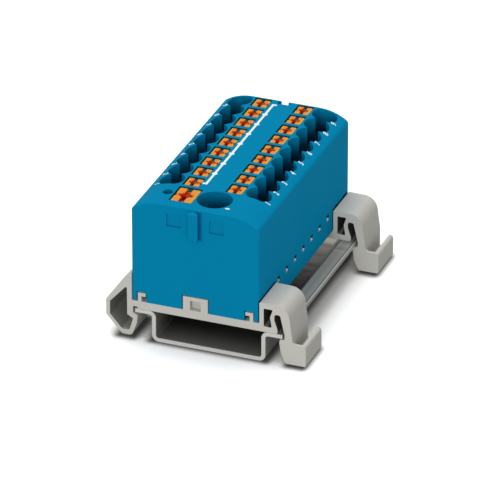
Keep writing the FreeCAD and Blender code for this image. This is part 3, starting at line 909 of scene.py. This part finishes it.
@dataclass
class SoftenedNode:
    """A CAD node shown as a copy whose sharp edges are broken as a moulding's are."""

    node: str
    body: str
    width: float
    segments: int = 2
    weld: float = 1e-7
    flat_angle: float = math.radians(1.0)
    sharp_angle: float = math.radians(32.0)

    def build(self, material: bpy.types.Material) -> bpy.types.Object:
        """Makes the copy, bevels it and puts it in the node's place.

        Args:
            material: Finish of the copy.

        Returns:
            The new object.
        """
        shell = bmesh.new()
        shell.from_mesh(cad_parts[self.node].data)
        bmesh.ops.remove_doubles(shell, verts=shell.verts, dist=self.weld)
        bmesh.ops.dissolve_limit(
            shell, angle_limit=self.flat_angle, verts=shell.verts, edges=shell.edges,
            use_dissolve_boundaries=False, delimit=set())
        sharp = [edge for edge in shell.edges
                 if len(edge.link_faces) == 2 and edge.calc_face_angle() > self.sharp_angle]
        bmesh.ops.bevel(
            shell, geom=sharp, offset=self.width, offset_type="OFFSET", segments=self.segments,
            profile=0.5, affect="EDGES", clamp_overlap=True, material=-1)
        mesh = to_mesh(f"{self.node}_moulded", shell, material)
        mesh.shade_smooth()
        mesh.set_sharp_from_angle(angle=self.sharp_angle)
        piece = link(mesh.name, mesh)
        even = piece.modifiers.new("flat_faces_first", "WEIGHTED_NORMAL")
        even.keep_sharp = True
        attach(piece, self.body)
        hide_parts(self.node)
        LOG.info("%s stands for %s: %d faces", piece.name, self.node, len(mesh.polygons))
        return piece


def dress(node: str, material: bpy.types.Material) -> None:
    """Gives a CAD node a finish and leaves its mesh as it is.

    Args:
        node: Name of the node.
        material: Its finish.
    """
    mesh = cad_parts[node].data
    mesh.materials.clear()
    mesh.materials.append(material)
    LOG.info("%s keeps its CAD mesh: %d faces", node, len(mesh.polygons))


@dataclass
class Housing:
    """Blue housing and its base plate, with the white print on the crown."""

    ink: PrintInk
    branch: ButtonGrid
    feed: ButtonGrid
    edge: float = 0.09 * MM
    arch_top: float = 14.65 * MM
    flat_width: float = 16.2 * MM
    crown_drop: float = 2.3 * MM
    side_wall: float = 2.15 * MM
    slit_floor: float = 13.35 * MM
    line_offset: float = -2.17 * MM
    line_width: float = 0.56 * MM
    line_overrun: float = 0.2 * MM
    tick_length: float = 1.25 * MM
    tick_width: float = 1.1 * MM
    tick_rise: float = 1.02
    cap_length: float = 1.2 * MM
    cap_width: float = 0.65 * MM
    cap_shift: float = 0.28 * MM
    cap_rise: float = 1.04
    dash_offset: float = 6.56 * MM
    dash_setback: float = 2.89 * MM
    dash_length: float = 1.2 * MM
    dash_width: float = 0.6 * MM
    spot_segments: int = 20
    ink_height: float = 0.03 * MM
    number_offset: float = 13.2 * MM
    number_setback: float = 1.9 * MM
    number_height: float = 1.33 * MM
    number_stretch: float = 0.85
    number_swell: float = 0.035 * MM
    digit_share: float = 0.7
    low: Vector = field(init=False)
    high: Vector = field(init=False)

    def __post_init__(self) -> None:
        """Reads the housing's place, less the coupling rib that stands out from its front."""
        self.low, self.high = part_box("housing")
        self.low.y = -self.high.y

    @property
    def middle(self) -> float:
        """X of the housing's mid-plane."""
        return (self.low.x + self.high.x) / 2

    @property
    def half_width(self) -> float:
        """Half of the housing's width."""
        return (self.high.x - self.low.x) / 2

    def cell_y(self, index: int) -> float:
        """Y of one clamping cell.

        Args:
            index: Number of the cell, from 0 at the front.

        Returns:
            Its place along the rail.
        """
        return self.branch.first + index * self.branch.pitch

    def crown(self, offset: float) -> tuple[float, float]:
        """Height and slope of the crown.

        Args:
            offset: Distance from the mid-plane.

        Returns:
            Height in metres and slope in radians, positive where the crown falls away.
        """
        run = self.half_width - self.flat_width / 2
        radius = (run ** 2 + self.crown_drop ** 2) / (2 * self.crown_drop)
        past = max(abs(offset) - self.flat_width / 2, 0.0)
        rise = math.sqrt(radius ** 2 - past ** 2)
        return self.high.z - radius + rise, math.atan2(past, rise)

    def build(self) -> None:
        """Dresses the housing and prints its marks."""
        foot_low, foot_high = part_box("rail_foot_rear")
        plastic = HousingPlastic(
            "housing_blue",
            middle=self.middle,
            flat=self.flat_width / 2,
            inner=self.half_width - self.side_wall,
            outer=self.half_width,
            end=self.high.y,
            crown=self.high.z,
            crown_drop=self.crown_drop,
            slit_floor=self.slit_floor,
            branch=self.branch,
            feed=self.feed,
            foot_y=(foot_low.y + foot_high.y) / 2,
            half_foot=(foot_high.y - foot_low.y) / 2,
            arch_top=self.arch_top,
        ).build()
        ink = self.ink.build()
        SoftenedNode("housing", BODY, self.edge).build(plastic)
        dress("base_plate", plastic)
        self._print_line(ink)
        for row in Row:
            for index in range(CELL_COUNT):
                self._print_number(row, index, ink)

    def _ink_bar(self, shell: bmesh.types.BMesh, centre: Triple, size: Triple) -> None:
        """Adds one bar of ink.

        Args:
            shell: Mesh to add it to.
            centre: Middle of the bar.
            size: Its sizes along the axes.
        """
        place = Matrix.Translation(centre) @ Matrix.Diagonal((*size, 1.0))
        bmesh.ops.create_cube(shell, size=1.0, matrix=place)

    def _ink_spot(self, shell: bmesh.types.BMesh, centre: Triple, size: Triple) -> None:
        """Adds one rounded spot of ink.

        Args:
            shell: Mesh to add it to.
            centre: Middle of the spot.
            size: Its sizes along the axes.
        """
        place = Matrix.Translation(centre) @ Matrix.Diagonal((*size, 1.0))
        bmesh.ops.create_cone(
            shell, cap_ends=True, segments=self.spot_segments, radius1=0.5, radius2=0.5,
            depth=1.0, matrix=place)

    def _print_line(self, ink: bpy.types.Material) -> None:
        """Prints the line that joins the cells, its ticks, and the dash by the feed funnel.

        Args:
            ink: Finish of the print.
        """
        shell = bmesh.new()
        x, top, last = self.middle + self.line_offset, self.high.z, CELL_COUNT - 1
        start, end = self.cell_y(0) - self.line_overrun, self.cell_y(last) + self.line_overrun
        thick = 2 * self.ink_height
        self._ink_bar(shell, (x, (start + end) / 2, top), (self.line_width, end - start, thick))
        tick = (self.tick_length, self.tick_width, thick * self.tick_rise)
        for index in range(1, last):
            self._ink_spot(shell, (x, self.cell_y(index), top), tick)
        cap = (self.cap_length, self.cap_width, thick * self.cap_rise)
        for index, toward in ((0, -1), (last, 1)):
            self._ink_bar(shell, (x + toward * self.cap_shift, self.cell_y(index), top), cap)
        dash = (self.middle + self.dash_offset, self.low.y + self.dash_setback, top)
        self._ink_spot(shell, dash, (self.dash_length, self.dash_width, thick))
        self._add("print_line", to_mesh("print_line", shell, ink))

    def _print_number(self, row: Row, index: int, ink: bpy.types.Material) -> None:
        """Prints the plain number of one cell beside its funnel.

        Args:
            row: Row of the cell.
            index: Number of the cell, from 0 at the front.
            ink: Finish of the print.
        """
        curve = bpy.data.curves.new(f"number_{row.label}_{index + 1}", "FONT")
        curve.body = str(index + 1)
        curve.size = self.number_height / self.digit_share
        curve.align_x = "CENTER"
        curve.align_y = "CENTER"
        curve.extrude = self.ink_height
        curve.offset = self.number_swell
        text = link(curve.name, curve)
        bpy.context.view_layer.update()
        shown = text.evaluated_get(bpy.context.evaluated_depsgraph_get())
        mesh = bpy.data.meshes.new_from_object(shown)
        bpy.data.objects.remove(text)
        height, slope = self.crown(self.number_offset)
        x = self.middle + row.value * self.number_offset
        y = self.cell_y(index) - self.number_setback
        turn = Matrix.Rotation(row.value * math.pi / 2, 4, "Z")
        lean = Matrix.Rotation(row.value * slope, 4, "Y")
        narrow = Matrix.Diagonal((self.number_stretch, 1.0, 1.0, 1.0))
        mesh.transform(Matrix.Translation((x, y, height)) @ lean @ turn @ narrow)
        mesh.materials.clear()
        mesh.materials.append(ink)
        self._add(curve.name, mesh)

    def _add(self, name: str, mesh: bpy.types.Mesh) -> None:
        """Adds a piece of print that rides on the block.

        Args:
            name: Name of the piece.
            mesh: Its mesh.
        """
        piece = link(name, mesh)
        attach(piece, BODY)
        LOG.info("%s added: %d faces", piece.name, len(mesh.polygons))


@dataclass
class ReleaseButtons:
    """Orange release buttons of both rows and the larger one of the feed."""

    branch: ButtonGrid
    feed: ButtonGrid
    edge: float = 0.07 * MM

    def build(self) -> None:
        """Dresses every button with broken edges."""
        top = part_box("button_feed")[1].z
        plastic = ButtonPlastic("button_orange", top, self.branch).build()
        for row in Row:
            for index in range(CELL_COUNT):
                name = f"button_{row.label}_{index + 1}"
                SoftenedNode(name, name, self.edge).build(plastic)
        large = ButtonPlastic("feed_button_orange", top, self.feed).build()
        SoftenedNode("button_feed", "button_feed", self.edge).build(large)


@dataclass
class RailFeet:
    """Grey sprung feet that clip the housing to the rail."""

    finish: FootPlastic
    edge: float = 0.1 * MM

    def build(self) -> None:
        """Dresses both feet with broken edges."""
        plastic = self.finish.build()
        for name in ("rail_foot_front", "rail_foot_rear"):
            SoftenedNode(name, BODY, self.edge).build(plastic)


@dataclass
class MountingRail:
    """Length of top-hat rail."""

    edge: float = 0.06 * MM

    def build(self) -> None:
        """Dresses the rail."""
        low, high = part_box("din_rail")
        steel = RailSteel("rail_steel", front=low.y, flange=high.z).build()
        SoftenedNode("din_rail", BODY, self.edge, segments=1).build(steel)


@dataclass
class Contacts:
    """Current bar and clamping springs inside the housing."""

    bar: SheetMetal
    spring: SheetMetal
    edge: float = 0.03 * MM
    travel: float = 1.3 * MM
    load_gap: float = 0.1 * MM

    def build(self) -> None:
        """Dresses the bar and every spring."""
        dress("busbar", self.bar.build())
        steel = self.spring.build()
        for row in Row:
            for index in range(CELL_COUNT):
                self._spring(f"{row.label}_{index + 1}", steel)
        self._spring("feed", steel)

    def _spring(self, cell: str, steel: bpy.types.Material) -> None:
        """Adds the spring of one cell, as a softened copy with a mesh of its own.

        Args:
            cell: Name of the cell in the node names.
            steel: Finish of the spring.
        """
        node = f"clamp_spring_{cell}"
        piece = SoftenedNode(node, BODY, self.edge, segments=1).build(steel)
        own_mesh(piece)


@dataclass(frozen=True)
class Softbox:
    """A square lamp aimed at the object."""

    name: str
    toward: Triple
    distance: float
    size: float
    power: float

    def build(self) -> None:
        """Adds the lamp."""
        data = bpy.data.lights.new(self.name, "AREA")
        data.shape = "SQUARE"
        data.size = self.size
        data.energy = self.power
        direction = Vector(self.toward).normalized()
        lamp = link(self.name, data)
        lamp.location = direction * self.distance
        lamp.rotation_euler = direction.to_track_quat("Z", "Y").to_euler()


@dataclass
class Studio:
    """White floor, soft lamps and the camera of the photograph."""

    lamps: tuple[Softbox, ...] = (
        Softbox("top_lamp", (-0.10, 0.12, 1.00), 0.80, 0.45, 2.6),
        Softbox("front_lamp", (0.25, -1.00, 0.26), 0.90, 0.50, 2.4),
    )
    floor_radius: float = 0.9
    floor_segments: int = 96
    fade_start: float = 0.25
    fade_end: float = 0.81
    ambient: float = 0.5
    bounce: float = 0.62
    pallor: float = 1.45
    contact_tone: float = 0.12
    contact_reach: float = 2.3 * MM
    soft_share: float = 0.42
    soft_reach: float = 12.0 * MM
    soft_start: float = 17.0 * MM
    soft_end: float = 27.0 * MM
    rail_brim: float = 4.0 * MM
    heel_setback: float = 4.8 * MM
    toe_setback: float = 2.6 * MM
    toe_half: float = 1.6 * MM
    azimuth: float = math.radians(21.03)
    elevation: float = math.radians(27.99)
    distance: float = 1351.3 * MM
    lens: float = 438.7
    sensor: float = 36.0
    clip_end: float = 10.0
    aim_right: float = 9.2 * MM
    aim_up: float = 23.5 * MM
    aim_shift: Vector = field(default_factory=lambda: Vector((0.0, -28.4, -1.19)) * MM)

    def build(self) -> None:
        """Sets up the whole studio."""
        bpy.context.scene.view_settings.view_transform = "Standard"
        self._world()
        self._floor()
        for lamp in self.lamps:
            lamp.build()
        self._camera()

    def _world(self) -> None:
        """White to the camera and in reflections, softer as a light."""
        world = bpy.data.worlds.new("studio_world")
        bpy.context.scene.world = world
        world.use_nodes = True
        bench = Bench(world.node_tree)
        path = bench.node("ShaderNodeLightPath", {}, {}).outputs
        seen = Signal(bench, path["Is Camera Ray"]) + Signal(bench, path["Is Glossy Ray"])
        white = (1.0, 1.0, 1.0, 1.0)
        soft = bench.node("ShaderNodeBackground", {}, {"Color": white, "Strength": self.ambient})
        plain = bench.node("ShaderNodeBackground", {}, {"Color": white, "Strength": 1.0})
        both = bench.node("ShaderNodeMixShader", {}, {0: seen, 1: soft.outputs[0], 2: plain.outputs[0]})
        bench.node("ShaderNodeOutputWorld", {}, {"Surface": both.outputs[0]})

    def _floor(self) -> None:
        """Pale disc that melts into the white backdrop towards its rim."""
        material, bench = new_bench("slit_light_floor")
        place = bench.place()
        length = bench.node("ShaderNodeVectorMath", {"operation": "LENGTH"}, {0: place})
        fade = Signal(bench, length.outputs["Value"]).ramp(self.fade_start, self.fade_end)
        path = bench.node("ShaderNodeLightPath", {}, {}).outputs
        seen = Signal(bench, path["Is Camera Ray"])
        open_floor = self._contact(bench, place) * self._soft(bench, place)
        paper = bench.mix(open_floor, (self.pallor * self.contact_tone,) * 3, (self.pallor,) * 3)
        tone = bench.mix(seen, (self.bounce,) * 3, paper)
        matt = bench.node("ShaderNodeBsdfDiffuse", {}, {"Color": tone})
        clear = bench.node("ShaderNodeBsdfTransparent", {}, {})
        both = bench.node("ShaderNodeMixShader", {}, {0: fade, 1: matt.outputs[0], 2: clear.outputs[0]})
        bench.node("ShaderNodeOutputMaterial", {}, {"Surface": both.outputs[0]})
        disc = bmesh.new()
        bmesh.ops.create_circle(disc, cap_ends=True, segments=self.floor_segments, radius=self.floor_radius)
        floor = link("floor", to_mesh("floor", disc, material))

    def _contact(self, bench: Bench, place: bpy.types.NodeSocket) -> Signal:
        """Shade where the rail and the two feet meet the floor.

        Args:
            bench: Node bench of the floor.
            place: Object coordinates of the floor.

        Returns:
            0 at what stands there, 1 a few millimetres away.
        """
        x, y, _ = bench.axes(place)
        rail_low, rail_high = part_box("din_rail")
        foot_low, foot_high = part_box("rail_foot_front")
        rail_y = (rail_low.y + rail_high.y) / 2
        near = self._outside(abs(x), abs(y - rail_y), rail_high.x - self.rail_brim, rail_high.y - rail_y)
        foot_y = -(foot_low.y + foot_high.y) / 2
        half_foot = (foot_high.y - foot_low.y) / 2
        past_foot = abs(abs(y) - foot_y)
        for middle in (foot_low.x + self.heel_setback, foot_high.x - self.toe_setback):
            near = near.lower(self._outside(abs(x - middle), past_foot, self.toe_half, half_foot))
        return near.ramp(0.0, self.contact_reach)

    def _soft(self, bench: Bench, place: bpy.types.NodeSocket) -> Signal:
        """Wide faint shade beside the rail, between the two feet.

        Args:
            bench: Node bench of the floor.
            place: Object coordinates of the floor.

        Returns:
            1 in the open, less beside the rail.
        """
        x, y, _ = bench.axes(place)
        beside = (abs(x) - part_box("din_rail")[1].x + self.rail_brim).fade(0.0, self.soft_reach)
        between = abs(y).fade(self.soft_start, self.soft_end)
        return 1.0 - self.soft_share * between * beside

    @staticmethod
    def _outside(first: Signal, second: Signal, half_first: float, half_second: float) -> Signal:
        """Distance from a rectangle.

        Args:
            first: Distance from its middle along one side.
            second: Distance from its middle along the other side.
            half_first: Half of the first side.
            half_second: Half of the second side.

        Returns:
            0 inside, the distance outside.
        """
        over, past = (first - half_first).higher(0.0), (second - half_second).higher(0.0)
        return (over * over + past * past).root()

    def _camera(self) -> None:
        """Camera with the long lens and the angle of the photograph."""
        right = Vector((math.cos(self.azimuth), math.sin(self.azimuth), 0.0))
        back = Vector((
            math.sin(self.azimuth) * math.cos(self.elevation),
            -math.cos(self.azimuth) * math.cos(self.elevation),
            math.sin(self.elevation)))
        up = back.cross(right)
        place = right * self.aim_right + up * self.aim_up + back * self.distance + self.aim_shift
        data = bpy.data.cameras.new("camera")
        data.lens = self.lens
        data.sensor_width = self.sensor
        data.clip_end = self.clip_end
        camera = link("camera", data)
        turn = Matrix((right, up, back)).transposed().to_4x4()
        camera.matrix_world = Matrix.Translation(place) @ turn
        bpy.context.scene.camera = camera


def main() -> None:
    """Builds the studio and dresses every sub-assembly."""
    logging.basicConfig(level=logging.INFO, format="%(name)s: %(message)s")
    Studio().build()
    branch = ButtonGrid(
        middle=-3.1 * MM, offset=5.1 * MM, first=-16.0 * MM, pitch=5.2 * MM,
        half_width=1.75 * MM, half_depth=1.9 * MM)
    feed = ButtonGrid(
        middle=-7.55 * MM, offset=0.0, first=-22.55 * MM, pitch=100.0 * MM,
        half_width=2.5 * MM, half_depth=3.3 * MM)
    Housing(PrintInk("print_white"), branch, feed).build()
    ReleaseButtons(branch, feed).build()
    loop = Hollow(x=-21.0 * MM, z=6.8 * MM, reach=6.3 * MM, shade_share=0.62)
    arch = Hollow(x=14.0 * MM, z=11.1 * MM, reach=2.6 * MM, shade_share=0.97)
    slot = Hollow(x=16.6 * MM, z=9.9 * MM, reach=2.9 * MM, shade_share=0.97)
    RailFeet(FootPlastic("foot_grey", (loop, arch, slot))).build()
    MountingRail().build()
    Contacts(
        bar=SheetMetal("tinned_copper", (0.72, 0.60, 0.48), (0.60, 0.50, 0.40)),
        spring=SheetMetal("spring_steel", (0.62, 0.62, 0.62), (0.52, 0.52, 0.52)),
    ).build()


if __name__ == "__main__":
    main()
